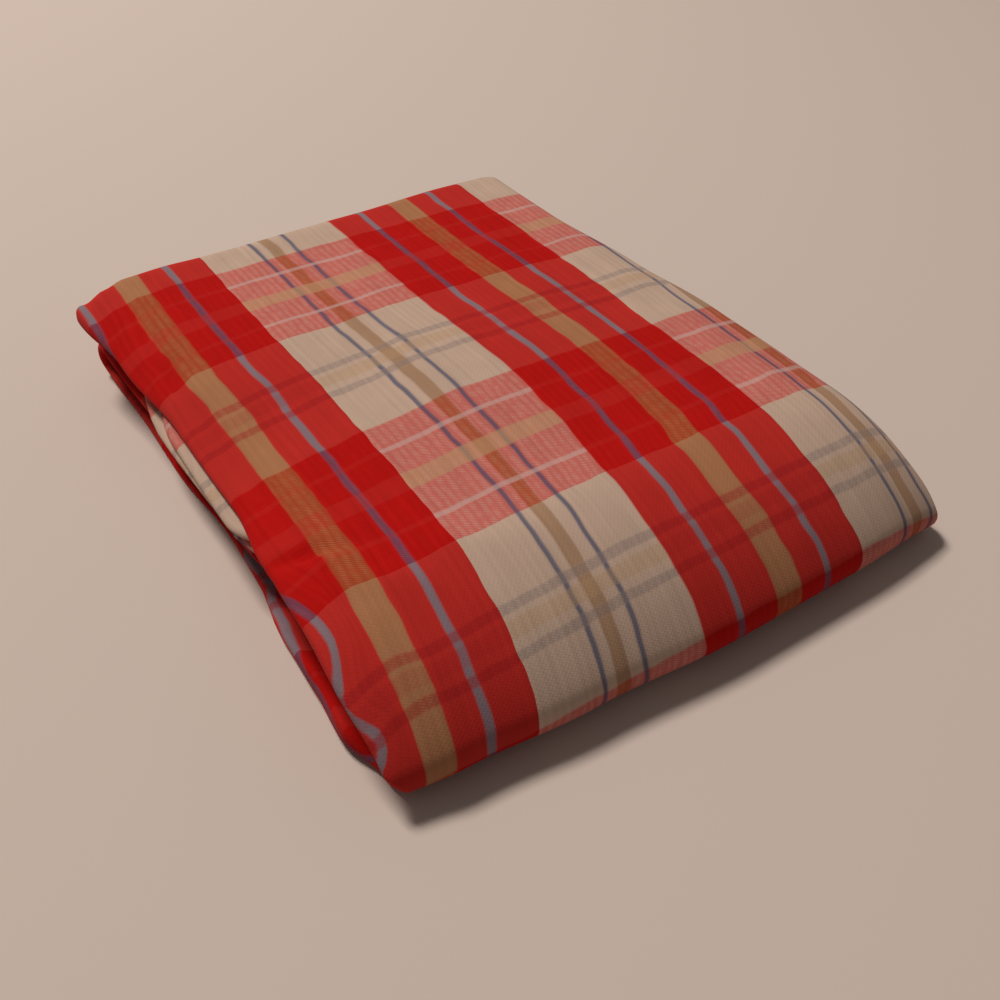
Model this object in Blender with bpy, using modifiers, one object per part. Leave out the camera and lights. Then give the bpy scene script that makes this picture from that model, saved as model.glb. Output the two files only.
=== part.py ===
"""A plaid cotton bedspread, folded both ways into a flat bundle: one cloth, one solid.

Frame: +Z up, +X across the bundle (the weft), +Y along it (the warp), with the closed front
fold towards -Y. The origin is at the middle of the underside. Metres.

The cloth is first folded across: four layers, with two creases on the left and one round fold
on the right. That strip is then folded along: four passes, with two small folds at the back
and the large fold at the front, which wraps the bundle from its top to its underside.
"""
import math
from collections import namedtuple

import bmesh
import bpy
from mathutils import Vector

COLLECTION_NAME = "folded_bedspread"
CLOTH_NAME = "bedspread_cloth"

# Driving sizes
CLOTH_THICKNESS = 0.0016
LAYER_PITCH = 0.0031
ACROSS_LAYERS = 4
ALONG_PASSES = 4
LEFT_SIDE = -0.1252
RIGHT_SIDE = 0.1228
BACK_END = 0.1479
FRONT_START = -0.0896
HEM_INSET = 0.0030

# The front fold slopes down in a wide arc and turns under in a small one. The second pass's hem
# follows the wide arc, and the third pass's hem lies flat under it, so that they fill the fold.
SLOPE_TURN = math.radians(50.0)
FOOT_RADIUS = 0.0120
HEM_TURN = math.radians(38.0)
HEM_PLACE = -0.2
HEM_REACH = 0.0080

# The underside lies flat inside these four sides, and rises a little beyond them
FLAT_LEFT = -0.0790
FLAT_RIGHT = 0.0920
FLAT_FRONT = -0.0900
FLAT_BACK = 0.1040
RISE_SLOPE = 0.0120

# Lengths over which a side, an end or a crease's loop eases into the flat layers
SIDE_GIVE = 0.0700
END_GIVE = 0.0900
LOOP_GIVE = 0.0120

# Sizes worked out from them
STACK_LAYERS = ACROSS_LAYERS * ALONG_PASSES
OUTER_LEVEL = CLOTH_THICKNESS / 2.0
TOP_LEVEL = OUTER_LEVEL + (STACK_LAYERS - 1) * LAYER_PITCH
CREASE_RADIUS = LAYER_PITCH / 2.0
SIDE_FOLD_RADIUS = (ACROSS_LAYERS - 1) * LAYER_PITCH / 2.0
BACK_FOLD_RADIUS = (2 * ACROSS_LAYERS - 1) * LAYER_PITCH / 2.0
PASS_DROP = 2.0 * BACK_FOLD_RADIUS
BACK_START = BACK_END - BACK_FOLD_RADIUS - CLOTH_THICKNESS / 2.0
SLOPE_DROP = TOP_LEVEL - OUTER_LEVEL - FOOT_RADIUS * (1.0 + math.cos(SLOPE_TURN))
SLOPE_RADIUS = SLOPE_DROP / (1.0 - math.cos(SLOPE_TURN))
FOOT_START = FRONT_START - (SLOPE_RADIUS - FOOT_RADIUS) * math.sin(SLOPE_TURN)

# Steps of the mesh. Every layer has its stations at the same places, so that none dips into the
# next one; a layer's are given from its left crease, and lie closer where the stack falls away.
LAYER_PLACES = (0.0, 0.0050, 0.0120, 0.0240, 0.0460, 0.0900, 0.1500, 0.2100)
PASS_STEPS = 7
CREASE_STEPS = 5
SIDE_FOLD_STEPS = 6
BACK_FOLD_STEPS = 5
SLOPE_STEPS = 4
FOOT_STEPS = 5
HEM_STEPS = 3

# A place along the cloth is a section's number and a share of it: 0 the second pass, front to
# back; 1 the upper back fold; 2 the top pass, back to front; 3 the front fold, its slope up to
# 3.5 and its foot from there; 4 the bottom pass, front to back; 5 the lower back fold; 6 the
# third pass, back to front. The second pass's hem comes before 0.
# How far the two left creases and the right fold stand out at each place, and how far the
# outer crease's loop hangs open.
Edge = namedtuple("Edge", "place outer_crease inner_crease right_fold loop")
EDGES = (
    Edge(-0.20, -0.0180, -0.0240, 0.0000, 0.0000),
    Edge(0.00, -0.0090, -0.0150, 0.0000, 0.0000),
    Edge(0.30, -0.0040, -0.0020, 0.0000, 0.0000),
    Edge(0.60, -0.0050, 0.0000, -0.0060, 0.0000),
    Edge(1.00, -0.0070, -0.0140, -0.0160, 0.0000),
    Edge(1.50, -0.0010, -0.0150, -0.0190, 0.0030),
    Edge(2.00, 0.0050, -0.0130, -0.0200, 0.0045),
    Edge(2.20, 0.0000, -0.0130, -0.0190, 0.0010),
    Edge(2.45, -0.0040, -0.0010, -0.0120, 0.0000),
    Edge(2.70, -0.0045, -0.0005, -0.0060, 0.0000),
    Edge(2.88, -0.0010, -0.0120, -0.0025, 0.0000),
    Edge(3.00, 0.0000, -0.0130, -0.0015, 0.0010),
    Edge(3.25, 0.0010, -0.0130, -0.0005, 0.0010),
    Edge(3.50, -0.0010, -0.0140, 0.0020, 0.0000),
    Edge(3.80, -0.0060, -0.0160, 0.0055, 0.0000),
    Edge(4.00, -0.0050, -0.0170, 0.0070, 0.0010),
    Edge(4.07, 0.0005, -0.0190, 0.0075, 0.0080),
    Edge(4.15, -0.0010, -0.0190, 0.0065, 0.0070),
    Edge(4.25, -0.0020, -0.0170, 0.0045, 0.0010),
    Edge(4.40, -0.0064, -0.0120, 0.0010, 0.0000),
    Edge(4.52, -0.0075, -0.0120, -0.0020, 0.0000),
    Edge(4.68, -0.0042, -0.0120, -0.0070, 0.0000),
    Edge(4.84, -0.0045, -0.0120, -0.0105, 0.0000),
    Edge(5.00, -0.0030, -0.0140, -0.0150, 0.0010),
    Edge(5.50, -0.0015, -0.0150, -0.0160, 0.0020),
    Edge(6.00, -0.0020, -0.0140, -0.0150, 0.0000),
    Edge(6.50, -0.0060, -0.0100, -0.0050, 0.0000),
    Edge(7.00, -0.0090, -0.0160, 0.0010, 0.0000),
)

# How far the front and the back reach at each place across, from the left side to the right
Reach = namedtuple("Reach", "share front back")
REACHES = (
    Reach(0.00, -0.0110, -0.0060),
    Reach(0.10, -0.0080, -0.0035),
    Reach(0.30, -0.0040, -0.0030),
    Reach(0.55, 0.0000, -0.0010),
    Reach(0.80, 0.0000, 0.0030),
    Reach(1.00, -0.0020, 0.0025),
)

# How high the stack stands at each place across, as a share of its full height, in four rows
# along the bundle
HEIGHT_ROWS = (("back", 0.141), ("rear", 0.051), ("middle", 0.001), ("front", FRONT_START))
Height = namedtuple("Height", "share back rear middle front")
HEIGHTS = (
    Height(0.00, 0.84, 0.72, 0.72, 0.82),
    Height(0.04, 0.93, 0.84, 0.78, 0.88),
    Height(0.08, 0.98, 0.96, 0.85, 0.94),
    Height(0.16, 1.00, 1.00, 0.92, 0.95),
    Height(0.24, 0.99, 1.03, 0.98, 0.98),
    Height(0.42, 1.00, 1.05, 1.07, 1.02),
    Height(0.65, 1.00, 1.03, 1.04, 1.00),
    Height(0.88, 0.99, 1.01, 0.99, 0.99),
    Height(0.95, 0.93, 0.94, 0.94, 0.92),
    Height(1.00, 0.84, 0.84, 0.86, 0.80),
)


def clamp(value, low=0.0, high=1.0):
    return max(low, min(high, value))


def smooth(value):
    """A soft step from 0 to 1."""
    share = clamp(value)
    return share * share * (3.0 - 2.0 * share)


def blend(start, end, share):
    return start * (1.0 - share) + end * share


def table_value(rows, key, column, value):
    """A column of a table at a value of its key, eased softly from row to row."""
    first = rows[0]
    for row in rows:
        if getattr(row, key) >= value:
            break
        first = row
    span = getattr(row, key) - getattr(first, key)
    if span <= 0.0:
        return getattr(row, column)
    share = smooth((value - getattr(first, key)) / span)
    return blend(getattr(first, column), getattr(row, column), share)


# A station across the strip: its place, its depth below the strip's outer layer, and how much it
# follows the outer crease, the inner crease, the right fold and the outer crease's loop
Across = namedtuple("Across", "x depth outer inner right loop")

# A station along the cloth: its place, its point on the strip's outer layer, and the direction
# of depth there
Along = namedtuple("Along", "place y z depth_y depth_z")


def spread(start, end, steps):
    """Even values from start to end, without the last."""
    return [start + (end - start) * step / steps for step in range(steps)]


def across_stations():
    """The folded strip's section, from one selvedge to the other."""
    left = LEFT_SIDE + CREASE_RADIUS
    right = RIGHT_SIDE - SIDE_FOLD_RADIUS
    selvedge = right - HEM_INSET
    flat = [left + place for place in LAYER_PLACES]
    stations = []

    def add_layer(places, layer, outer, loop):
        for x in places:
            crease = smooth((left + SIDE_GIVE - x) / SIDE_GIVE)
            fold = smooth((x - right + SIDE_GIVE) / SIDE_GIVE)
            hang = loop * smooth((left + LOOP_GIVE - x) / LOOP_GIVE)
            stations.append(Across(x, layer * LAYER_PITCH, crease * outer, crease * (1 - outer), fold, hang))

    def add_crease(first_layer, outer):
        for angle in spread(0.0, math.pi, CREASE_STEPS):
            depth = first_layer * LAYER_PITCH - CREASE_RADIUS * (1.0 - math.cos(angle))
            x = left - CREASE_RADIUS * math.sin(angle)
            hang = outer * (1.0 + math.cos(angle)) / 2.0
            stations.append(Across(x, depth, outer, 1 - outer, 0.0, hang))

    def add_right_fold():
        for angle in spread(0.0, math.pi, SIDE_FOLD_STEPS):
            depth = SIDE_FOLD_RADIUS * (1.0 - math.cos(angle))
            stations.append(Across(right + SIDE_FOLD_RADIUS * math.sin(angle), depth, 0.0, 0.0, 1.0, 0.0))

    add_layer([selvedge] + flat[:0:-1], 1, 1, 1)
    add_crease(1, 1)
    add_layer(flat, 0, 1, 0)
    add_right_fold()
    add_layer([right] + flat[:0:-1], 3, 0, 0)
    add_crease(3, 0)
    add_layer(flat + [selvedge], 2, 0, 0)
    return stations


def along_stations():
    """The path of the strip's outer layer, from one hem to the other."""
    foot_place = 4.0 + (FRONT_START - FOOT_START) / (BACK_START - FOOT_START)
    third_level = OUTER_LEVEL + PASS_DROP
    stations = []

    def add_flat(first_place, last_place, start, end, steps, level, depth_z):
        places = spread(first_place, last_place, steps)
        for place, y in zip(places, spread(start, end, steps)):
            stations.append(Along(place, y, level, 0.0, depth_z))

    def add_arc(places, centre_y, centre_z, radius, angles, side, depth_side):
        """Angles are from straight up, towards the front for side -1 and the back for side 1."""
        for place, angle in zip(places, angles):
            out_y = side * math.sin(angle)
            out_z = math.cos(angle)
            y = centre_y + radius * out_y
            z = centre_z + radius * out_z
            stations.append(Along(place, y, z, depth_side * out_y, depth_side * out_z))

    def add_back_fold(section, centre_z):
        places = spread(section, section + 1.0, BACK_FOLD_STEPS)
        angles = spread(math.pi, 0.0, BACK_FOLD_STEPS)
        add_arc(places, BACK_START, centre_z, BACK_FOLD_RADIUS, angles, 1.0, -1.0)

    add_arc(spread(HEM_PLACE, 0.0, HEM_STEPS), FRONT_START, TOP_LEVEL - SLOPE_RADIUS,
            SLOPE_RADIUS - PASS_DROP, spread(HEM_TURN, 0.0, HEM_STEPS), -1.0, 1.0)
    add_flat(0.0, 1.0, FRONT_START, BACK_START, PASS_STEPS, TOP_LEVEL - PASS_DROP, 1.0)
    add_back_fold(1.0, TOP_LEVEL - BACK_FOLD_RADIUS)
    add_flat(2.0, 3.0, BACK_START, FRONT_START, PASS_STEPS, TOP_LEVEL, -1.0)
    add_arc(spread(3.0, 3.5, SLOPE_STEPS), FRONT_START, TOP_LEVEL - SLOPE_RADIUS,
            SLOPE_RADIUS, spread(0.0, SLOPE_TURN, SLOPE_STEPS), -1.0, -1.0)
    add_arc(spread(3.5, 4.0, FOOT_STEPS), FOOT_START, OUTER_LEVEL + FOOT_RADIUS,
            FOOT_RADIUS, spread(SLOPE_TURN, math.pi, FOOT_STEPS), -1.0, -1.0)
    add_flat(4.0, foot_place, FOOT_START, FRONT_START, HEM_STEPS, OUTER_LEVEL, 1.0)
    add_flat(foot_place, 5.0, FRONT_START, BACK_START, PASS_STEPS, OUTER_LEVEL, 1.0)
    add_back_fold(5.0, OUTER_LEVEL + BACK_FOLD_RADIUS)
    add_flat(6.0, 7.0, BACK_START, FRONT_START, PASS_STEPS, third_level, -1.0)
    for y in (FRONT_START, FRONT_START - HEM_REACH):
        stations.append(Along(7.0, y, third_level, 0.0, -1.0))
    return stations


def stack_height(share, y):
    """The stack's height at a place, as a share of its full height."""
    first_name, first_y = HEIGHT_ROWS[0]
    for name, row_y in HEIGHT_ROWS:
        if row_y <= y:
            break
        first_name, first_y = name, row_y
    end = table_value(HEIGHTS, "share", name, share)
    if first_y == row_y:
        return end
    start = table_value(HEIGHTS, "share", first_name, share)
    return blend(start, end, smooth((first_y - y) / (first_y - row_y)))


def edge_rise(x, y):
    """How far the bundle lifts off the surface at a place beyond its flat middle."""
    beyond_x = max(FLAT_LEFT - x, x - FLAT_RIGHT, 0.0)
    beyond_y = max(FLAT_FRONT - y, y - FLAT_BACK, 0.0)
    return RISE_SLOPE * math.hypot(beyond_x, beyond_y)


def cloth_point(across, along):
    """One point of the cloth's middle surface."""
    edge = {name: table_value(EDGES, "place", name, along.place) for name in Edge._fields[1:]}
    x = across.x - across.outer * edge["outer_crease"] - across.inner * edge["inner_crease"]
    x += across.right * edge["right_fold"]
    depth = across.depth + across.loop * edge["loop"]
    y = along.y + depth * along.depth_y
    z = along.z + depth * along.depth_z

    share = clamp((x - LEFT_SIDE) / (RIGHT_SIDE - LEFT_SIDE))
    front = smooth((FRONT_START + END_GIVE - y) / END_GIVE)
    back = smooth((y - BACK_START + END_GIVE) / END_GIVE)
    height = stack_height(share, y)
    rise = edge_rise(x, y)
    y -= front * table_value(REACHES, "share", "front", share)
    y += back * table_value(REACHES, "share", "back", share)
    z = OUTER_LEVEL + (z - OUTER_LEVEL) * height + rise
    return Vector((x, y, z))


def remove_scene_objects():
    for item in list(bpy.context.scene.objects):
        bpy.data.objects.remove(item, do_unlink=True)


def plaid_cotton():
    material = bpy.data.materials.new("plaid_cotton")
    material.use_nodes = True
    shader = material.node_tree.nodes["Principled BSDF"]
    shader.inputs["Base Color"].default_value = (0.45, 0.03, 0.025, 1.0)
    shader.inputs["Roughness"].default_value = 0.9
    shader.inputs["Metallic"].default_value = 0.0
    return material


def build_cloth(collection):
    across = across_stations()
    along = along_stations()
    columns = len(across) - 1
    rows = len(along) - 1
    grid = bmesh.new()
    bmesh.ops.create_grid(grid, x_segments=columns, y_segments=rows, size=0.5)
    for vertex in grid.verts:
        column = round((vertex.co.x + 0.5) * columns)
        row = round((vertex.co.y + 0.5) * rows)
        vertex.co = cloth_point(across[column], along[row])
    bmesh.ops.recalc_face_normals(grid, faces=grid.faces)
    mesh = bpy.data.meshes.new(CLOTH_NAME)
    grid.to_mesh(mesh)
    grid.free()
    mesh.shade_smooth()
    cloth = bpy.data.objects.new(CLOTH_NAME, mesh)
    collection.objects.link(cloth)
    cloth.data.materials.append(plaid_cotton())
    solidify = cloth.modifiers.new("cloth thickness", "SOLIDIFY")
    solidify.thickness = CLOTH_THICKNESS
    solidify.offset = 0.0
    solidify.use_even_offset = True
    return cloth


def main():
    remove_scene_objects()
    collection = bpy.data.collections.new(COLLECTION_NAME)
    bpy.context.scene.collection.children.link(collection)
    build_cloth(collection)


main()
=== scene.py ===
"""The looks of a folded plaid bedspread: one woven cotton cloth on its folds, and its stage.

The cloth is folded across into four layers and then along into four passes, as a thin closed
sheet. Its pattern is woven in the cloth's own coordinates, measured over its surface: across
from a cream band's left edge, and along from a cream band's back edge towards the front hem.

Frame: +Z up, +X across the bundle (the weft), +Y along it (the warp), with the closed front
fold towards -Y. Metres.
"""
import math
from collections import namedtuple
from types import SimpleNamespace

import bmesh
import bpy
from bpy.props import FloatProperty, FloatVectorProperty, PointerProperty
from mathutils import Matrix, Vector


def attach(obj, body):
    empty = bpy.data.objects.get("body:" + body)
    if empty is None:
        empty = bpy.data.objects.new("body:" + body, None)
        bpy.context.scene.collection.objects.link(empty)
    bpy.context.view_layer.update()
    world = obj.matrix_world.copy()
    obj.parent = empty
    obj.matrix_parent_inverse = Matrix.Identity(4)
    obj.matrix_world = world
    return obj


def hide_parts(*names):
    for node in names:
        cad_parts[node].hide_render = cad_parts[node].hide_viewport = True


bl_info = {
    "name": "Folded Plaid Bedspread",
    "version": (1, 0, 0),
    "blender": (4, 5, 0),
    "location": "View3D > Sidebar > Bedspread",
    "description": "Builds a folded cotton bedspread with a woven plaid, and its stage",
    "category": "Add Mesh",
}

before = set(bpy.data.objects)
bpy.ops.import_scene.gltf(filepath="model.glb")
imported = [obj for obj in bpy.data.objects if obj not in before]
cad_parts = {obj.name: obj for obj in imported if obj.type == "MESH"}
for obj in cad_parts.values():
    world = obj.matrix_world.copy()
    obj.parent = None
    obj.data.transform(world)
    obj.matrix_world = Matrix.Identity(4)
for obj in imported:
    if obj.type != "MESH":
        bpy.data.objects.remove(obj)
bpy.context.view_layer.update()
CLOTH_NODE = "bedspread_cloth"
BODY = "root"

ACROSS_LAYERS = 4
ALONG_PASSES = 4

# The underside lies flat inside these four sides, and rises a little beyond them
FLAT_LEFT = -0.0790
FLAT_RIGHT = 0.0920
FLAT_FRONT = -0.0900
FLAT_BACK = 0.1040
RISE_SLOPE = 0.0120

# Lengths over which a side, an end or a crease's loop eases into the flat layers
SIDE_GIVE = 0.0700
END_GIVE = 0.0900
LOOP_GIVE = 0.0120

# A place along the cloth is a section's number and a share of it: 0 the second pass, front to
# back; 1 the upper back fold; 2 the top pass, back to front; 3 the front fold, its slope up to
# 3.5 and its foot from there; 4 the bottom pass, front to back; 5 the lower back fold; 6 the
# third pass, back to front. The second pass's hem comes before 0.
HEM_PLACE = -0.2

# How far the two left creases and the right fold stand out at each place, and how far the
# outer crease's loop hangs open
Edge = namedtuple("Edge", "place outer_crease inner_crease right_fold loop")
EDGES = (
    Edge(-0.20, -0.0180, -0.0240, 0.0000, 0.0000),
    Edge(0.00, -0.0090, -0.0150, 0.0000, 0.0000),
    Edge(0.30, -0.0040, -0.0020, 0.0000, 0.0000),
    Edge(0.60, -0.0050, 0.0000, -0.0060, 0.0000),
    Edge(1.00, -0.0070, -0.0140, -0.0160, 0.0000),
    Edge(1.50, -0.0010, -0.0150, -0.0190, 0.0030),
    Edge(2.00, 0.0050, -0.0130, -0.0200, 0.0045),
    Edge(2.20, 0.0000, -0.0130, -0.0190, 0.0010),
    Edge(2.45, -0.0040, -0.0010, -0.0120, 0.0000),
    Edge(2.70, -0.0045, -0.0005, -0.0060, 0.0000),
    Edge(2.88, -0.0010, -0.0120, -0.0025, 0.0000),
    Edge(3.00, 0.0000, -0.0130, -0.0015, 0.0010),
    Edge(3.25, 0.0010, -0.0130, -0.0005, 0.0010),
    Edge(3.50, -0.0010, -0.0140, 0.0020, 0.0000),
    Edge(3.80, -0.0060, -0.0160, 0.0055, 0.0000),
    Edge(4.00, -0.0050, -0.0170, 0.0070, 0.0010),
    Edge(4.07, 0.0005, -0.0190, 0.0075, 0.0080),
    Edge(4.15, -0.0010, -0.0190, 0.0065, 0.0070),
    Edge(4.25, -0.0020, -0.0170, 0.0045, 0.0010),
    Edge(4.40, -0.0064, -0.0120, 0.0010, 0.0000),
    Edge(4.52, -0.0075, -0.0120, -0.0020, 0.0000),
    Edge(4.68, -0.0042, -0.0120, -0.0070, 0.0000),
    Edge(4.84, -0.0045, -0.0120, -0.0105, 0.0000),
    Edge(5.00, -0.0030, -0.0140, -0.0150, 0.0010),
    Edge(5.50, -0.0015, -0.0150, -0.0160, 0.0020),
    Edge(6.00, -0.0020, -0.0140, -0.0150, 0.0000),
    Edge(6.50, -0.0060, -0.0100, -0.0050, 0.0000),
    Edge(7.00, -0.0090, -0.0160, 0.0010, 0.0000),
)

# How far the front and the back reach at each place across, from the left side to the right
Reach = namedtuple("Reach", "share front back")
REACHES = (
    Reach(0.00, -0.0110, -0.0060),
    Reach(0.10, -0.0080, -0.0035),
    Reach(0.30, -0.0040, -0.0030),
    Reach(0.55, 0.0000, -0.0010),
    Reach(0.80, 0.0000, 0.0030),
    Reach(1.00, -0.0020, 0.0025),
)

# How high the stack stands at each place across, as a share of its full height, in four rows
# along the bundle
HEIGHT_ROWS = (("back", 0.141), ("rear", 0.051), ("middle", 0.001), ("front", -0.0896))
Height = namedtuple("Height", "share back rear middle front")
HEIGHTS = (
    Height(0.00, 0.84, 0.72, 0.72, 0.82),
    Height(0.04, 0.93, 0.84, 0.78, 0.88),
    Height(0.08, 0.98, 0.96, 0.85, 0.94),
    Height(0.16, 1.00, 1.00, 0.92, 0.95),
    Height(0.24, 0.99, 1.03, 0.98, 0.98),
    Height(0.42, 1.00, 1.05, 1.07, 1.02),
    Height(0.65, 1.00, 1.03, 1.04, 1.00),
    Height(0.88, 0.99, 1.01, 0.99, 0.99),
    Height(0.95, 0.93, 0.94, 0.94, 0.92),
    Height(1.00, 0.84, 0.84, 0.86, 0.80),
)

# Soft troughs and ridges in the top, each about its middle: its turn from +X in degrees, the
# half-length and half-width over which it fades, and how far it rises
Crease = namedtuple("Crease", "x y turn length width rise")
CREASES = (
    Crease(-0.113, -0.070, -15.0, 0.012, 0.0035, -0.0032),
    Crease(-0.108, -0.077, -25.0, 0.016, 0.0040, 0.0014),
    Crease(-0.092, -0.098, -35.0, 0.020, 0.0070, 0.0012),
    Crease(-0.060, -0.094, -8.0, 0.032, 0.0120, 0.0012),
    Crease(0.030, -0.088, 6.0, 0.060, 0.0140, 0.0012),
    Crease(0.075, 0.040, 80.0, 0.070, 0.0180, -0.0010),
    Crease(-0.035, 0.060, 70.0, 0.060, 0.0160, -0.0010),
)

# Spacings of the mesh over a layer, from its left crease, and along a pass: how far each goes
# and its step
Grade = namedtuple("Grade", "reach step")
OUTER_GRADES = (Grade(0.024, 0.0020), Grade(0.200, 0.0034), Grade(1.0, 0.0026))
INNER_GRADES = (Grade(0.024, 0.0040), Grade(1.0, 0.0110))
TOP_GRADES = (Grade(1.0, 0.0033),)
HIDDEN_GRADES = (Grade(1.0, 0.0110),)
CREASE_STEPS = 9
SIDE_FOLD_STEPS = 14
BACK_FOLD_STEPS = 12
SLOPE_STEPS = 18
FOOT_STEPS = 14
HEM_STEPS = 6

# The plaid across, from a cream band's left edge, in widths of a red band: where each stripe
# starts, its tones over a cream and over a red weft, whether it lies in a red band, and how
# much its floats cover the weft
Stripe = namedtuple("Stripe", "start over_cream over_red is_red floats")
WARP_REPEAT = 1.928
WARP_STRIPES = (
    Stripe(0.000, "cream", "pink", 0.0, 0.60),
    Stripe(0.342, "blue", "violet", 0.0, 0.30),
    Stripe(0.369, "cream", "pink", 0.0, 0.60),
    Stripe(0.424, "straw", "clay", 0.0, 0.60),
    Stripe(0.500, "cream", "pink", 0.0, 0.60),
    Stripe(0.574, "blue", "violet", 0.0, 0.30),
    Stripe(0.601, "cream", "pink", 0.0, 0.60),
    Stripe(0.928, "scarlet", "red", 1.0, 0.18),
    Stripe(1.138, "slate", "plum", 1.0, 0.30),
    Stripe(1.178, "scarlet", "red", 1.0, 0.18),
    Stripe(1.376, "gold", "rust", 1.0, 0.60),
    Stripe(1.525, "scarlet", "red", 1.0, 0.18),
    Stripe(1.678, "slate", "plum", 1.0, 0.30),
    Stripe(1.718, "scarlet", "red", 1.0, 0.18),
)

# The plaid along, from a cream band's back edge, in the same widths: where each stripe starts,
# whether its weft is red, its own tones over cream and over red warp, and how much they show
Pick = namedtuple("Pick", "start is_red tone_on_cream show_on_cream tone_on_red show_on_red")
WEFT_REPEAT = 1.850
WEFT_PICKS = (
    Pick(0.000, 0.0, "cream", 0.0, "scarlet", 0.0),
    Pick(0.325, 0.0, "grey", 0.56, "garnet", 0.55),
    Pick(0.378, 0.0, "cream", 0.0, "scarlet", 0.0),
    Pick(0.405, 0.0, "tan", 0.44, "garnet", 0.20),
    Pick(0.495, 0.0, "cream", 0.0, "scarlet", 0.0),
    Pick(0.540, 0.0, "grey", 0.56, "garnet", 0.55),
    Pick(0.593, 0.0, "cream", 0.0, "scarlet", 0.0),
    Pick(0.925, 1.0, "pink", 0.0, "red", 0.0),
    Pick(1.099, 1.0, "pale_blue", 0.60, "scarlet", 0.25),
    Pick(1.137, 1.0, "pink", 0.0, "red", 0.0),
    Pick(1.314, 1.0, "tan", 0.65, "scarlet", 0.40),
    Pick(1.438, 1.0, "pink", 0.0, "red", 0.0),
    Pick(1.638, 1.0, "pale_blue", 0.60, "scarlet", 0.25),
    Pick(1.674, 1.0, "pink", 0.0, "red", 0.0),
)
STRIPE_BLUR = 0.0045
FLOAT_SLANT = math.radians(30.0)

# How far the stripes wander from even spacing at each place along the plaid: the warp's at five
# places across, to the right, and the weft's towards the front
WANDER_COLUMNS = (("left", 0.0), ("cream", 0.47), ("middle", 1.04), ("right", 1.70), ("far", 1.93))
Wander = namedtuple("Wander", "along left cream middle right far weft")
WANDERS = (
    Wander(-0.90, -0.0003, -0.0028, -0.0022, -0.0012, 0.0012, 0.0019),
    Wander(-0.45, -0.0005, -0.0021, -0.0023, -0.0016, 0.0014, 0.0022),
    Wander(0.02, 0.0000, -0.0012, -0.0024, 0.0000, 0.0023, -0.0009),
    Wander(0.44, 0.0022, 0.0009, -0.0004, 0.0017, 0.0032, -0.0015),
    Wander(0.92, 0.0022, 0.0016, 0.0013, 0.0026, 0.0017, -0.0013),
    Wander(1.30, 0.0019, 0.0011, 0.0001, 0.0019, 0.0014, -0.0019),
    Wander(1.63, 0.0012, 0.0000, -0.0030, 0.0003, 0.0002, -0.0016),
    Wander(1.85, 0.0000, -0.0016, -0.0066, -0.0040, -0.0017, -0.0009),
    Wander(2.22, -0.0010, -0.0030, -0.0076, -0.0058, -0.0035, 0.0022),
    Wander(2.45, -0.0022, -0.0033, -0.0070, -0.0045, -0.0029, 0.0014),
    Wander(2.75, -0.0037, -0.0050, -0.0060, -0.0020, -0.0008, -0.0005),
    Wander(3.15, -0.0020, -0.0030, -0.0030, -0.0010, 0.0000, 0.0000),
)

# How far the stripe at the left creases wanders at each place along, and the places across
# between which this gives way to the rest. It shows twice on the top's rim and once on the lower
# crease.
Rim = namedtuple("Rim", "along slip")
RIM_WHOLE = -0.65
RIM_END = -0.56
RIMS = (
    Rim(-0.90, -0.0015),
    Rim(-0.45, -0.0040),
    Rim(1.45, -0.0035),
    Rim(1.95, 0.0048),
    Rim(2.25, -0.0018),
    Rim(2.44, 0.0046),
    Rim(2.64, -0.0020),
    Rim(2.90, -0.0015),
    Rim(3.03, 0.0030),
    Rim(3.23, -0.0036),
    Rim(3.90, 0.0000),
    Rim(4.12, 0.0036),
    Rim(4.50, 0.0066),
    Rim(4.70, -0.0040),
)

# The inner layers hold more cloth, in small folds that don't show, and have slid a little. Both
# grow between two places across the plaid.
INNER_FROM = 3.3
INNER_TO = 4.9
INNER_TAKE_UP = 0.0180
INNER_SLIDE = 0.0225

# Where the two edges that the plaid is measured from lie on the top
PLAID_LEFT_X = -0.0691
PLAID_BACK_Y = 0.0504

# Noise in the weave, in turns to a metre across and along the cloth, and the part of it that is
# used
WAVER_NOISE = (60.0, 60.0, 1.0)
RIB_NOISE = (260.0, 90.0, 1.0)
FLOAT_NOISE = (300.0, 300.0, 1.0)
STREAK_NOISE = (420.0, 14.0, 1.0)
YARN_NOISE = (60.0, 60.0, 1.0)
YARN_DETAIL = 3.0
NOISE_LOW = 0.3
NOISE_HIGH = 0.7
RIB_JITTER = 0.15

# The part of a wave over which a row and a column of floats rise to their full strength, and how
# much is left between columns and between patches
FLOAT_ROW = (-0.2, 0.5)
FLOAT_COLUMN = (-0.7, 0.1)
BETWEEN_COLUMNS = 0.30
PATCH_NOISE = (0.35, 0.60)
BETWEEN_PATCHES = 0.35

# How far the streaks and the yarn change the tone, and the painted shade of the ribs: darker between the
# ribs, lighter on them
STREAK_TONES = (0.95, 1.05)
YARN_TONES = (0.96, 1.04)
RIB_PAINTED_SHADE_TONES = (0.975, 1.015)

# The height that the threads stand out by, and the shine of the cotton and the floor
RELIEF_STRENGTH = 0.20
RELIEF_DISTANCE = 0.00010
COTTON_SPECULAR = 0.03
FLOOR_SPECULAR = 0.1
FLOOR_ROUGHNESS = 0.95

# A mix node lists its sockets for numbers, then for vectors, then for colours
COLOUR_SOCKET = 2

KEY_PLACE = (-0.60, 1.58, 3.00)
KEY_TONE = (1.0, 0.95, 0.88)

CAMERA_PLACE = (-0.20034, -0.29345, 0.28885)
CAMERA_TURN = (47.796, -1.988, -34.034)
CAMERA_LENS = 36.67
CAMERA_SENSOR = 36.0


def colour_property(name, description, default):
    return FloatVectorProperty(name=name, description=description, subtype="COLOR", size=3,
                               min=0.0, max=1.0, default=default)


def length_property(name, description, default):
    return FloatProperty(name=name, description=description, default=default, unit="LENGTH")


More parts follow.
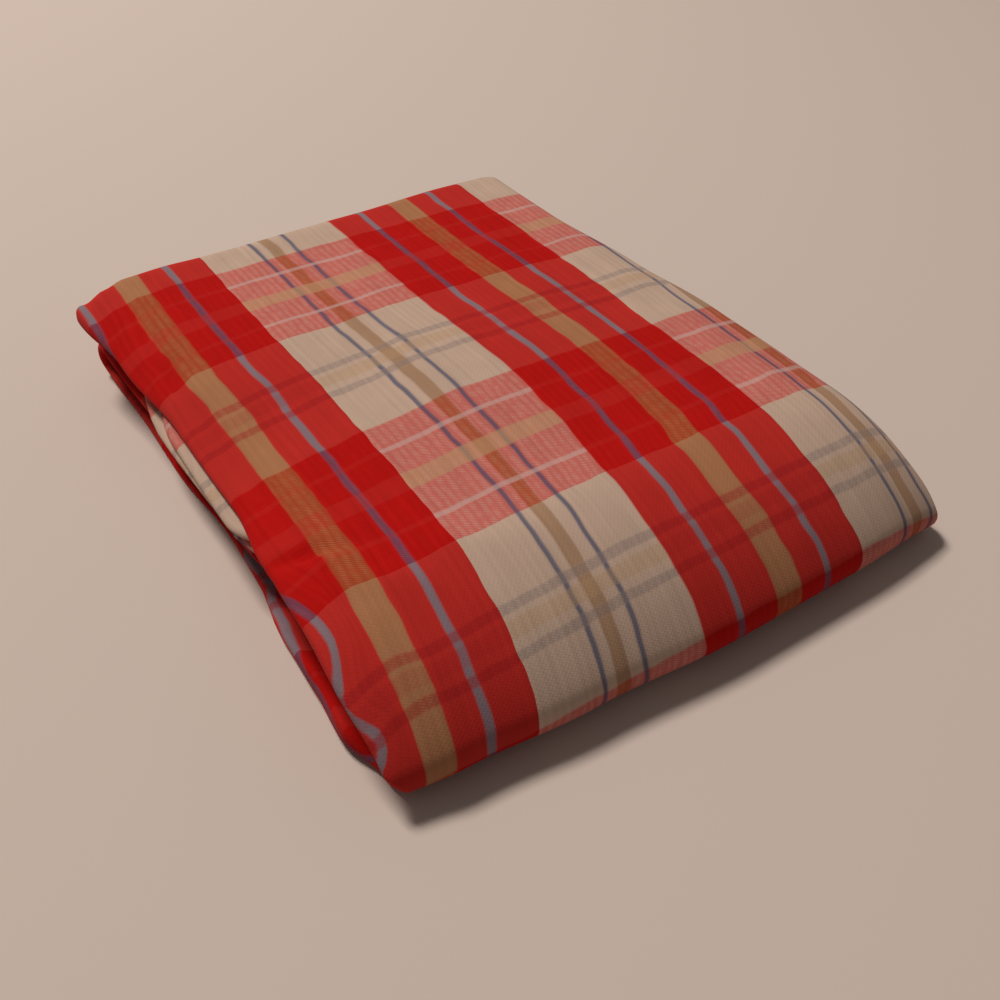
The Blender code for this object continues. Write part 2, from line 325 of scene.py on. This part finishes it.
class BedspreadFold(bpy.types.PropertyGroup):
    """Sizes of the folded cloth."""
    thickness: length_property("Thickness", "Thickness of the cloth", 0.0016)
    pitch: length_property("Layer pitch", "From one layer to the next", 0.0031)
    left_side: length_property("Left side", "Where the left creases lie", -0.1252)
    right_side: length_property("Right side", "Where the right fold ends", 0.1228)
    back_end: length_property("Back end", "Where the back folds end", 0.1479)
    front_start: length_property("Front start", "Where the front fold starts down", -0.0896)
    foot_radius: length_property("Foot radius", "Radius of the front fold's foot", 0.0120)
    hem_inset: length_property("Hem inset", "How far a selvedge stops short", 0.0030)
    hem_reach: length_property("Hem reach", "How far the third pass's hem goes on", 0.0080)
    slope_turn: FloatProperty(name="Slope turn", description="How far the front fold's slope turns",
                              default=math.radians(50.0), subtype="ANGLE")
    hem_turn: FloatProperty(name="Hem turn", description="How far the second pass's hem follows it",
                            default=math.radians(38.0), subtype="ANGLE")


class BedspreadWeave(bpy.types.PropertyGroup):
    """Tones and sizes of the weave."""
    band: length_property("Band", "Width of a red band", 0.0750)
    thread: length_property("Thread spacing", "From one thread to the next", 0.0010)
    rib: length_property("Rib spacing", "From one rib along the warp to the next", 0.0033)
    wander: length_property("Wander", "How far the stripes' edges waver", 0.0005)
    roughness: FloatProperty(name="Roughness", description="Roughness of the cotton", default=0.92,
                             subtype="FACTOR", min=0.0, max=1.0)
    sheen: FloatProperty(name="Sheen", description="Soft fuzz on the cotton", default=0.02,
                         subtype="FACTOR", min=0.0, max=1.0)
    cream: colour_property("Cream", "Cream warp over cream weft", (0.446, 0.312, 0.242))
    pink: colour_property("Pink", "Cream warp over red weft", (0.458, 0.108, 0.090))
    scarlet: colour_property("Scarlet", "Red warp over cream weft", (0.412, 0.0215, 0.0170))
    red: colour_property("Red", "Red warp over red weft", (0.382, 0.0045, 0.0035))
    straw: colour_property("Straw", "Gold warp in a cream band", (0.318, 0.189, 0.118))
    clay: colour_property("Clay", "That warp over red weft", (0.355, 0.071, 0.033))
    gold: colour_property("Gold", "Gold warp in a red band", (0.338, 0.145, 0.071))
    rust: colour_property("Rust", "That warp over red weft", (0.326, 0.051, 0.018))
    blue: colour_property("Blue", "Blue warp in a cream band", (0.140, 0.122, 0.150))
    violet: colour_property("Violet", "That warp over red weft", (0.150, 0.070, 0.105))
    slate: colour_property("Slate", "Blue warp in a red band", (0.205, 0.141, 0.165))
    plum: colour_property("Plum", "That warp over red weft", (0.170, 0.040, 0.070))
    grey: colour_property("Grey", "Blue weft in a cream band", (0.225, 0.172, 0.160))
    garnet: colour_property("Garnet", "Blue weft under red warp", (0.290, 0.012, 0.014))
    tan: colour_property("Tan", "Gold weft", (0.400, 0.245, 0.130))
    pale_blue: colour_property("Pale blue", "Blue weft in a red band", (0.480, 0.330, 0.310))


class BedspreadStage(bpy.types.PropertyGroup):
    """Floor and light."""
    floor: colour_property("Floor", "Colour of the floor", (0.527, 0.436, 0.388))
    floor_size: length_property("Floor size", "Side of the floor", 4.0)
    key_power: FloatProperty(name="Key power", description="Power of the light behind", default=113.0,
                             unit="POWER")
    key_size: length_property("Key size", "Side of the light behind", 0.75)
    ambient: FloatProperty(name="Ambient", description="Strength of the light all round", default=0.17,
                           min=0.0)
    ambient_tone: colour_property("Ambient tone", "Colour of the light all round", (1.0, 0.96, 0.91))


def clamp(value, low=0.0, high=1.0):
    return max(low, min(high, value))


def smooth(value):
    """A soft step from 0 to 1."""
    share = clamp(value)
    return share * share * (3.0 - 2.0 * share)


def blend(start, end, share):
    return start * (1.0 - share) + end * share


def table_value(rows, key, column, value):
    """A column of a table at a value of its key, eased softly from row to row."""
    first = rows[0]
    for row in rows:
        if getattr(row, key) >= value:
            break
        first = row
    span = getattr(row, key) - getattr(first, key)
    if span <= 0.0:
        return getattr(row, column)
    share = smooth((value - getattr(first, key)) / span)
    return blend(getattr(first, column), getattr(row, column), share)


def spread(start, end, steps):
    """Even values from start to end, without the last."""
    return [start + (end - start) * step / steps for step in range(steps)]


def graded(length, grades):
    """Distances from 0 up to a length, without the last, with the steps of the grades."""
    places = []
    start = 0.0
    for grade in grades:
        end = min(grade.reach, length)
        places += spread(start, end, max(1, round((end - start) / grade.step)))
        start = end
    return places


def fold_sizes(fold):
    """The fold's sizes with those worked out from them."""
    sizes = SimpleNamespace()
    for name in ("thickness", "pitch", "left_side", "right_side", "front_start", "foot_radius",
                 "hem_inset", "hem_reach", "slope_turn", "hem_turn"):
        setattr(sizes, name, getattr(fold, name))
    sizes.outer_level = fold.thickness / 2.0
    sizes.top_level = sizes.outer_level + (ACROSS_LAYERS * ALONG_PASSES - 1) * fold.pitch
    sizes.crease_radius = fold.pitch / 2.0
    sizes.side_radius = (ACROSS_LAYERS - 1) * fold.pitch / 2.0
    sizes.back_radius = (2 * ACROSS_LAYERS - 1) * fold.pitch / 2.0
    sizes.pass_drop = 2.0 * sizes.back_radius
    sizes.back_start = fold.back_end - sizes.back_radius - sizes.outer_level
    slope_cosine = math.cos(fold.slope_turn)
    slope_drop = sizes.top_level - sizes.outer_level - fold.foot_radius * (1.0 + slope_cosine)
    sizes.slope_radius = slope_drop / (1.0 - slope_cosine)
    slope_reach = (sizes.slope_radius - fold.foot_radius) * math.sin(fold.slope_turn)
    sizes.foot_start = fold.front_start - slope_reach
    return sizes


# A station across the strip: its place, its depth below the strip's outer layer, and how much it
# follows the outer crease, the inner crease, the right fold and the outer crease's loop
Across = namedtuple("Across", "x depth outer inner right loop")

# A station along the cloth: its place, its point on the strip's outer layer, and the direction
# of depth there
Along = namedtuple("Along", "place y z depth_y depth_z")


def across_stations(sizes):
    """The folded strip's section, from one selvedge to the other."""
    left = sizes.left_side + sizes.crease_radius
    right = sizes.right_side - sizes.side_radius
    selvedge = right - sizes.hem_inset
    outer_flat = [left + place for place in graded(right - left, OUTER_GRADES)]
    inner_flat = [left + place for place in graded(selvedge - left, INNER_GRADES)]
    stations = []

    def add_layer(places, layer, outer, loop):
        for x in places:
            crease = smooth((left + SIDE_GIVE - x) / SIDE_GIVE)
            fold = smooth((x - right + SIDE_GIVE) / SIDE_GIVE)
            hang = loop * smooth((left + LOOP_GIVE - x) / LOOP_GIVE)
            depth = layer * sizes.pitch
            stations.append(Across(x, depth, crease * outer, crease * (1 - outer), fold, hang))

    def add_crease(first_layer, outer):
        for angle in spread(0.0, math.pi, CREASE_STEPS):
            depth = first_layer * sizes.pitch - sizes.crease_radius * (1.0 - math.cos(angle))
            x = left - sizes.crease_radius * math.sin(angle)
            hang = outer * (1.0 + math.cos(angle)) / 2.0
            stations.append(Across(x, depth, outer, 1 - outer, 0.0, hang))

    def add_right_fold():
        for angle in spread(0.0, math.pi, SIDE_FOLD_STEPS):
            x = right + sizes.side_radius * math.sin(angle)
            depth = sizes.side_radius * (1.0 - math.cos(angle))
            stations.append(Across(x, depth, 0.0, 0.0, 1.0, 0.0))

    add_layer([selvedge] + inner_flat[:0:-1], 1, 1, 1)
    add_crease(1, 1)
    add_layer(outer_flat, 0, 1, 0)
    add_right_fold()
    add_layer([right] + inner_flat[:0:-1], 3, 0, 0)
    add_crease(3, 0)
    add_layer(inner_flat + [selvedge], 2, 0, 0)
    return stations


def along_stations(sizes):
    """The path of the strip's outer layer, from one hem to the other."""
    foot_place = 4.0 + (sizes.front_start - sizes.foot_start) / (sizes.back_start - sizes.foot_start)
    third_level = sizes.outer_level + sizes.pass_drop
    slope_centre = sizes.top_level - sizes.slope_radius
    stations = []

    def add_flat(first_place, last_place, start, end, grades, level, depth_z):
        length = abs(end - start)
        for distance in graded(length, grades):
            share = distance / length
            place = blend(first_place, last_place, share)
            stations.append(Along(place, blend(start, end, share), level, 0.0, depth_z))

    def add_arc(places, centre_y, centre_z, radius, angles, side, depth_side):
        """Angles are from straight up, towards the front for side -1 and the back for side 1."""
        for place, angle in zip(places, angles):
            out_y = side * math.sin(angle)
            out_z = math.cos(angle)
            y = centre_y + radius * out_y
            z = centre_z + radius * out_z
            stations.append(Along(place, y, z, depth_side * out_y, depth_side * out_z))

    def add_back_fold(section, centre_z):
        places = spread(section, section + 1.0, BACK_FOLD_STEPS)
        angles = spread(math.pi, 0.0, BACK_FOLD_STEPS)
        add_arc(places, sizes.back_start, centre_z, sizes.back_radius, angles, 1.0, -1.0)

    add_arc(spread(HEM_PLACE, 0.0, HEM_STEPS), sizes.front_start, slope_centre,
            sizes.slope_radius - sizes.pass_drop, spread(sizes.hem_turn, 0.0, HEM_STEPS), -1.0, 1.0)
    add_flat(0.0, 1.0, sizes.front_start, sizes.back_start, HIDDEN_GRADES,
             sizes.top_level - sizes.pass_drop, 1.0)
    add_back_fold(1.0, sizes.top_level - sizes.back_radius)
    add_flat(2.0, 3.0, sizes.back_start, sizes.front_start, TOP_GRADES, sizes.top_level, -1.0)
    add_arc(spread(3.0, 3.5, SLOPE_STEPS), sizes.front_start, slope_centre,
            sizes.slope_radius, spread(0.0, sizes.slope_turn, SLOPE_STEPS), -1.0, -1.0)
    add_arc(spread(3.5, 4.0, FOOT_STEPS), sizes.foot_start, sizes.outer_level + sizes.foot_radius,
            sizes.foot_radius, spread(sizes.slope_turn, math.pi, FOOT_STEPS), -1.0, -1.0)
    add_flat(4.0, foot_place, sizes.foot_start, sizes.front_start, TOP_GRADES, sizes.outer_level, 1.0)
    add_flat(foot_place, 5.0, sizes.front_start, sizes.back_start, HIDDEN_GRADES,
             sizes.outer_level, 1.0)
    add_back_fold(5.0, sizes.outer_level + sizes.back_radius)
    add_flat(6.0, 7.0, sizes.back_start, sizes.front_start, HIDDEN_GRADES, third_level, -1.0)
    for y in (sizes.front_start, sizes.front_start - sizes.hem_reach):
        stations.append(Along(7.0, y, third_level, 0.0, -1.0))
    return stations


def stack_height(share, y):
    """The stack's height at a place, as a share of its full height."""
    first_name, first_y = HEIGHT_ROWS[0]
    for name, row_y in HEIGHT_ROWS:
        if row_y <= y:
            break
        first_name, first_y = name, row_y
    end = table_value(HEIGHTS, "share", name, share)
    if first_y == row_y:
        return end
    start = table_value(HEIGHTS, "share", first_name, share)
    return blend(start, end, smooth((first_y - y) / (first_y - row_y)))


def edge_rise(x, y):
    """How far the bundle lifts off the surface at a place beyond its flat middle."""
    beyond_x = max(FLAT_LEFT - x, x - FLAT_RIGHT, 0.0)
    beyond_y = max(FLAT_FRONT - y, y - FLAT_BACK, 0.0)
    return RISE_SLOPE * math.hypot(beyond_x, beyond_y)


def crease_rise(x, y):
    """How far the soft creases lift the top at a place."""
    rise = 0.0
    for crease in CREASES:
        turn = math.radians(crease.turn)
        along = (x - crease.x) * math.cos(turn) + (y - crease.y) * math.sin(turn)
        across = (y - crease.y) * math.cos(turn) - (x - crease.x) * math.sin(turn)
        rise += crease.rise * math.exp(-(along / crease.length) ** 2 - (across / crease.width) ** 2)
    return rise


def cloth_point(sizes, across, along, edge):
    """One point of the cloth's middle surface."""
    x = across.x - across.outer * edge.outer_crease - across.inner * edge.inner_crease
    x += across.right * edge.right_fold
    depth = across.depth + across.loop * edge.loop
    y = along.y + depth * along.depth_y
    z = along.z + depth * along.depth_z

    share = clamp((x - sizes.left_side) / (sizes.right_side - sizes.left_side))
    level = (z - sizes.outer_level) / (sizes.top_level - sizes.outer_level)
    front = smooth((sizes.front_start + END_GIVE - y) / END_GIVE)
    back = smooth((y - sizes.back_start + END_GIVE) / END_GIVE)
    height = stack_height(share, y)
    lift = edge_rise(x, y) + level * crease_rise(x, y)
    y -= front * table_value(REACHES, "share", "front", share)
    y += back * table_value(REACHES, "share", "back", share)
    z = sizes.outer_level + (z - sizes.outer_level) * height + lift
    return Vector((x, y, z))


def cloth_points(sizes, across, along):
    """Rows of points along the cloth, each from one selvedge to the other."""
    rows = []
    for along_station in along:
        values = [table_value(EDGES, "place", name, along_station.place) for name in Edge._fields[1:]]
        edge = Edge(along_station.place, *values)
        rows.append([cloth_point(sizes, station, along_station, edge) for station in across])
    return rows


def running_lengths(points):
    lengths = [0.0]
    for first, second in zip(points, points[1:]):
        lengths.append(lengths[-1] + (second - first).length)
    return lengths


def value_at(keys, values, key):
    """A value between two neighbours of rising keys."""
    for index in range(1, len(keys) - 1):
        if keys[index] >= key:
            break
    else:
        index = len(keys) - 1
    share = clamp((key - keys[index - 1]) / (keys[index] - keys[index - 1]))
    return blend(values[index - 1], values[index], share)


def wandering(across, along, band):
    """How far the plaid wanders at a place on the cloth, across and along."""
    along_share = along / band
    across_share = across / band
    first_name, first_place = WANDER_COLUMNS[0]
    for name, place in WANDER_COLUMNS:
        if place >= across_share:
            break
        first_name, first_place = name, place
    slip = table_value(WANDERS, "along", name, along_share)
    if place > first_place:
        share = smooth((across_share - first_place) / (place - first_place))
        slip = blend(table_value(WANDERS, "along", first_name, along_share), slip, share)
    rim_share = smooth((RIM_END - across_share) / (RIM_END - RIM_WHOLE))
    slip = blend(slip, table_value(RIMS, "along", "slip", along_share), rim_share)
    inner = smooth((across_share - INNER_FROM) / (INNER_TO - INNER_FROM))
    slip_along = table_value(WANDERS, "along", "weft", along_share)
    return slip - inner * INNER_TAKE_UP, slip_along + inner * INNER_SLIDE


def plaid_places(across, along, rows, band):
    """Each point's place on the plaid, across and along, measured over the cloth."""
    outer_columns = [column for column, station in enumerate(across)
                     if station.depth == 0.0 and station.right < 1.0 and station.loop == 0.0]
    top_rows = [row for row, station in enumerate(along) if 2.0 <= station.place <= 3.0]
    outer_x = [across[column].x for column in outer_columns]

    places_across = []
    for row in rows:
        lengths = running_lengths(row)
        row_x = [row[column].x for column in outer_columns]
        start = value_at(row_x, [lengths[column] for column in outer_columns], PLAID_LEFT_X)
        places_across.append([length - start for length in lengths])

    outer_along = []
    for column in outer_columns:
        line = [row[column] for row in rows]
        lengths = running_lengths(line)
        forward = [-line[row].y for row in top_rows]
        start = value_at(forward, [lengths[row] for row in top_rows], -PLAID_BACK_Y)
        outer_along.append([length - start for length in lengths])

    plaid = []
    for row, row_across in enumerate(places_across):
        values = [lengths[row] for lengths in outer_along]
        places = []
        for place_across, station in zip(row_across, across):
            place_along = value_at(outer_x, values, station.x)
            slip_across, slip_along = wandering(place_across, place_along, band)
            places.append((place_across - slip_across, place_along - slip_along))
        plaid.append(places)
    return plaid


class NodeMaker:
    """Adds and links a material's nodes."""

    def __init__(self, tree):
        self.tree = tree

    def node(self, kind, label, values=(), **settings):
        node = self.tree.nodes.new(kind)
        node.label = label
        for name, value in settings.items():
            setattr(node, name, value)
        for socket, value in dict(values).items():
            if isinstance(value, bpy.types.NodeSocket):
                self.tree.links.new(value, node.inputs[socket])
            else:
                node.inputs[socket].default_value = value
        return node

    def math(self, label, operation, *values):
        node = self.node("ShaderNodeMath", label, dict(enumerate(values)), operation=operation)
        return node.outputs["Value"]

    def mix(self, label, share, first, second):
        node = self.node("ShaderNodeMix", label, {"Factor": share}, data_type="RGBA")
        for socket, value in (("A", first), ("B", second)):
            sockets = [item for item in node.inputs if item.name == socket]
            self.tree.links.new(value, sockets[COLOUR_SOCKET])
        return node.outputs[COLOUR_SOCKET]

    def ramp(self, label, share, starts, tones, repeat):
        """A repeating row of stripes with slightly soft edges."""
        node = self.node("ShaderNodeValToRGB", label, {"Fac": share})
        stops = node.color_ramp.elements
        stops[0].position = 0.0
        stops[0].color = tones[0]
        stops[1].position = 1.0
        stops[1].color = tones[-1]
        for index in range(1, len(starts)):
            before = stops.new((starts[index] - STRIPE_BLUR) / repeat)
            before.color = tones[index - 1]
            after = stops.new((starts[index] + STRIPE_BLUR) / repeat)
            after.color = tones[index]
        return node

    def stretched_noise(self, label, place, scale, detail=1.0):
        scaled = self.node("ShaderNodeVectorMath", label, {0: place, 1: scale}, operation="MULTIPLY")
        noise = self.node("ShaderNodeTexNoise", label, {"Vector": scaled.outputs["Vector"], "Scale": 1.0,
                                                        "Detail": detail, "Roughness": 0.5})
        return noise.outputs["Fac"]

    def range(self, label, value, low, high, out_low=0.0, out_high=1.0):
        node = self.node("ShaderNodeMapRange", label, {"Value": value, "From Min": low, "From Max": high,
                                                       "To Min": out_low, "To Max": out_high})
        return node.outputs["Result"]


def grey_tone(value):
    return (value, value, value, 1.0)


def plaid_cotton(weave):
    """Woven plaid: warp stripes crossed by weft stripes, with the threads' floats and ribs."""
    material = bpy.data.materials.new("plaid_cotton")
    material.use_nodes = True
    tree = material.node_tree
    shader = tree.nodes["Principled BSDF"]
    shader.inputs["Roughness"].default_value = weave.roughness
    shader.inputs["Sheen Weight"].default_value = weave.sheen
    shader.inputs["Specular IOR Level"].default_value = COTTON_SPECULAR
    make = NodeMaker(tree)

    def tone(name):
        return (*getattr(weave, name), 1.0)

    place = make.node("ShaderNodeUVMap", "place on the cloth", uv_map="cloth").outputs["UV"]
    drift = make.stretched_noise("wavering edges", place, WAVER_NOISE)
    slip = make.range("wander", drift, NOISE_LOW, NOISE_HIGH, -weave.wander, weave.wander)
    parts = make.node("ShaderNodeSeparateXYZ", "across and along", {0: place})
    across = make.math("across, wandering", "ADD", parts.outputs["X"], slip)
    along = make.math("along, wandering", "SUBTRACT", parts.outputs["Y"], slip)

    warp_share = make.math("share of the warp repeat", "DIVIDE", across, WARP_REPEAT * weave.band)
    warp_share = make.math("repeat across", "FRACT", warp_share)
    weft_share = make.math("share of the weft repeat", "DIVIDE", along, WEFT_REPEAT * weave.band)
    weft_share = make.math("repeat along", "FRACT", weft_share)

    def warp_ramp(label, tones):
        starts = [stripe.start for stripe in WARP_STRIPES]
        return make.ramp(label, warp_share, starts, tones, WARP_REPEAT).outputs["Color"]

    def weft_ramp(label, tones):
        starts = [pick.start for pick in WEFT_PICKS]
        return make.ramp(label, weft_share, starts, tones, WEFT_REPEAT)

    over_cream = warp_ramp("warp over cream weft", [tone(stripe.over_cream) for stripe in WARP_STRIPES])
    over_red = warp_ramp("warp over red weft", [tone(stripe.over_red) for stripe in WARP_STRIPES])
    red_warp = warp_ramp("red warp", [grey_tone(stripe.is_red) for stripe in WARP_STRIPES])
    red_weft = weft_ramp("red weft", [grey_tone(pick.is_red) for pick in WEFT_PICKS])
    on_cream = weft_ramp("weft stripes on cream", [
        (*getattr(weave, pick.tone_on_cream), pick.show_on_cream) for pick in WEFT_PICKS])
    on_red = weft_ramp("weft stripes on red", [
        (*getattr(weave, pick.tone_on_red), pick.show_on_red) for pick in WEFT_PICKS])

    # Short slanting floats in columns, where the warp's own tone shows over the weft
    def waves(label, value, spacing):
        turns = make.math(label + ", turns", "MULTIPLY", value, math.tau / spacing)
        return make.math(label, "SINE", turns)

    shift = make.math("slant of the floats", "MULTIPLY", parts.outputs["X"], math.tan(FLOAT_SLANT))
    slanted = make.math("along, slanted", "SUBTRACT", parts.outputs["Y"], shift)
    jitter = make.stretched_noise("uneven ribs", place, RIB_NOISE)
    most = RIB_JITTER * weave.rib
    jitter = make.range("rib shift", jitter, NOISE_LOW, NOISE_HIGH, -most, most)
    rib_place = make.math("across the ribs", "ADD", parts.outputs["X"], jitter)
    rows = make.range("float rows", waves("rows", slanted, weave.thread), *FLOAT_ROW)
    rib_waves = waves("ribs", rib_place, weave.rib)
    columns = make.range("float columns", rib_waves, *FLOAT_COLUMN, BETWEEN_COLUMNS)
    patchy = make.stretched_noise("patchy floats", place, FLOAT_NOISE)
    patchy = make.range("float strength", patchy, *PATCH_NOISE, BETWEEN_PATCHES)
    floats = make.math("rows in columns", "MULTIPLY", rows, columns)
    floats = make.math("floats", "MULTIPLY", floats, patchy)
    float_share = warp_ramp("floats of each stripe", [grey_tone(stripe.floats) for stripe in WARP_STRIPES])
    under = make.math("floats' share", "MULTIPLY", floats, float_share)
    under = make.math("weft showing", "SUBTRACT", 1.0, under)
    cover = make.math("red weft showing", "MULTIPLY", red_weft.outputs["Color"], under)

    colour = make.mix("warp and weft", cover, over_cream, over_red)
    cream_show = make.math("stripes showing on cream", "MULTIPLY", on_cream.outputs["Alpha"], under)
    red_show = make.math("stripes showing on red", "MULTIPLY", on_red.outputs["Alpha"], under)
    cream_line = make.mix("stripes on cream", cream_show, colour, on_cream.outputs["Color"])
    red_line = make.mix("stripes on red", red_show, colour, on_red.outputs["Color"])
    colour = make.mix("plaid", red_warp, cream_line, red_line)

    # Uneven yarn: faint ribs along the warp, and a slow change of tone; also painted shade that follows
    # the ribs, darker between them and lighter on them
    streaks = make.stretched_noise("streaks along the warp", place, STREAK_NOISE)
    patches = make.stretched_noise("uneven yarn", place, YARN_NOISE, YARN_DETAIL)
    streaks = make.range("streak tone", streaks, NOISE_LOW, NOISE_HIGH, *STREAK_TONES)
    patches = make.range("patch tone", patches, NOISE_LOW, NOISE_HIGH, *YARN_TONES)
    # Painted shade: the tone follows the ribs' relief, darker between the ribs and lighter on their tops
    painted_rib_shade = make.range("painted shade of the ribs", rib_waves, -1.0, 1.0, *RIB_PAINTED_SHADE_TONES)
    shade = make.math("yarn tone", "MULTIPLY", streaks, patches)
    shade = make.math("yarn tone and painted rib shade", "MULTIPLY", shade, painted_rib_shade)
    tinted = make.node("ShaderNodeVectorMath", "toned plaid", {0: colour}, operation="SCALE")
    tree.links.new(shade, tinted.inputs["Scale"])
    tree.links.new(tinted.outputs["Vector"], shader.inputs["Base Color"])

    # Threads over and under each other, with the floats on top
    wave_across = waves("threads across", parts.outputs["X"], 2.0 * weave.thread)
    wave_along = waves("threads along", parts.outputs["Y"], 2.0 * weave.thread)
    weave_height = make.math("over and under", "MULTIPLY", wave_across, wave_along)
    weave_height = make.math("weave and floats", "ADD", weave_height, floats)
    bump = make.node("ShaderNodeBump", "weave relief", {
        "Height": weave_height, "Strength": RELIEF_STRENGTH, "Distance": RELIEF_DISTANCE})
    tree.links.new(bump.outputs["Normal"], shader.inputs["Normal"])
    return material


def plain_floor(colour):
    material = bpy.data.materials.new("plain_floor")
    material.use_nodes = True
    shader = material.node_tree.nodes["Principled BSDF"]
    shader.inputs["Base Color"].default_value = (*colour, 1.0)
    shader.inputs["Roughness"].default_value = FLOOR_ROUGHNESS
    shader.inputs["Specular IOR Level"].default_value = FLOOR_SPECULAR
    return material


class OBJECT_OT_bedspread_cloth(bpy.types.Operator):
    """Builds the folded cloth on its solid's folds, with its plaid"""
    bl_idname = "object.bedspread_cloth"
    bl_label = "Folded Cloth"
    bl_options = {"REGISTER", "UNDO"}

    def execute(self, context):
        fold = context.scene.bedspread_fold
        sizes = fold_sizes(fold)
        across = across_stations(sizes)
        along = along_stations(sizes)
        rows = cloth_points(sizes, across, along)
        plaid = plaid_places(across, along, rows, context.scene.bedspread_weave.band)
        last_column = len(across) - 1
        last_row = len(along) - 1

        grid = bmesh.new()
        bmesh.ops.create_grid(grid, x_segments=last_column, y_segments=last_row, size=0.5)
        plaid_layer = grid.loops.layers.uv.new("cloth")
        for vertex in grid.verts:
            column = round((vertex.co.x + 0.5) * last_column)
            row = round((vertex.co.y + 0.5) * last_row)
            vertex.co = rows[row][column]
            for loop in vertex.link_loops:
                loop[plaid_layer].uv = plaid[row][column]
        bmesh.ops.recalc_face_normals(grid, faces=grid.faces)
        mesh = bpy.data.meshes.new("bedspread")
        grid.to_mesh(mesh)
        grid.free()
        mesh.shade_smooth()

        cloth = bpy.data.objects.new("bedspread", mesh)
        context.scene.collection.objects.link(cloth)
        cloth.data.materials.append(plaid_cotton(context.scene.bedspread_weave))
        solidify = cloth.modifiers.new("cloth thickness", "SOLIDIFY")
        solidify.thickness = fold.thickness
        solidify.offset = 0.0
        solidify.use_even_offset = True

        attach(cloth, BODY)
        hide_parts(CLOTH_NODE)
        return {"FINISHED"}


class OBJECT_OT_bedspread_stage(bpy.types.Operator):
    """Builds the floor, the light and the camera"""
    bl_idname = "object.bedspread_stage"
    bl_label = "Stage"
    bl_options = {"REGISTER", "UNDO"}

    def execute(self, context):
        stage = context.scene.bedspread_stage
        self.add_floor(context, stage)
        self.add_light(context, stage)
        self.add_camera(context)
        return {"FINISHED"}

    def add_floor(self, context, stage):
        grid = bmesh.new()
        bmesh.ops.create_grid(grid, x_segments=1, y_segments=1, size=stage.floor_size / 2.0)
        mesh = bpy.data.meshes.new("floor")
        grid.to_mesh(mesh)
        grid.free()
        floor = bpy.data.objects.new("floor", mesh)
        floor.data.materials.append(plain_floor(stage.floor))
        context.scene.collection.objects.link(floor)

    def add_light(self, context, stage):
        world = bpy.data.worlds.new("soft light all round")
        world.use_nodes = True
        sky = world.node_tree.nodes["Background"]
        sky.inputs["Color"].default_value = (*stage.ambient_tone, 1.0)
        sky.inputs["Strength"].default_value = stage.ambient
        context.scene.world = world
        context.scene.view_settings.view_transform = "Standard"

        lamp = bpy.data.lights.new("light behind", "AREA")
        lamp.shape = "SQUARE"
        lamp.size = stage.key_size
        lamp.energy = stage.key_power
        lamp.color = KEY_TONE
        light = bpy.data.objects.new("light behind", lamp)
        light.location = KEY_PLACE
        light.rotation_euler = (-Vector(KEY_PLACE)).to_track_quat("-Z", "Y").to_euler()
        context.scene.collection.objects.link(light)

    def add_camera(self, context):
        lens = bpy.data.cameras.new("photograph's view")
        lens.sensor_width = CAMERA_SENSOR
        lens.lens = CAMERA_LENS
        camera = bpy.data.objects.new("photograph's view", lens)
        camera.location = CAMERA_PLACE
        camera.rotation_euler = [math.radians(turn) for turn in CAMERA_TURN]
        context.scene.collection.objects.link(camera)
        context.scene.camera = camera


class VIEW3D_PT_bedspread(bpy.types.Panel):
    """Sizes, tones and builders of the bedspread"""
    bl_idname = "VIEW3D_PT_bedspread"
    bl_label = "Folded Plaid Bedspread"
    bl_space_type = "VIEW_3D"
    bl_region_type = "UI"
    bl_category = "Bedspread"

    def draw(self, context):
        for group in (context.scene.bedspread_fold, context.scene.bedspread_weave,
                      context.scene.bedspread_stage):
            box = self.layout.box()
            for name in group.__annotations__:
                box.prop(group, name)
        for operator in OPERATORS:
            self.layout.operator(operator.bl_idname)


OPERATORS = (OBJECT_OT_bedspread_cloth, OBJECT_OT_bedspread_stage)
GROUPS = (
    ("bedspread_fold", BedspreadFold),
    ("bedspread_weave", BedspreadWeave),
    ("bedspread_stage", BedspreadStage),
)
CLASSES = tuple(group for name, group in GROUPS) + OPERATORS + (VIEW3D_PT_bedspread,)


def register():
    for item in CLASSES:
        bpy.utils.register_class(item)
    for name, group in GROUPS:
        setattr(bpy.types.Scene, name, PointerProperty(type=group))


def unregister():
    for name, group in GROUPS:
        delattr(bpy.types.Scene, name)
    for item in reversed(CLASSES):
        bpy.utils.unregister_class(item)


def main():
    register()
    bpy.ops.object.bedspread_cloth()
    bpy.ops.object.bedspread_stage()
    bpy.context.view_layer.update()


if __name__ == "__main__":
    main()
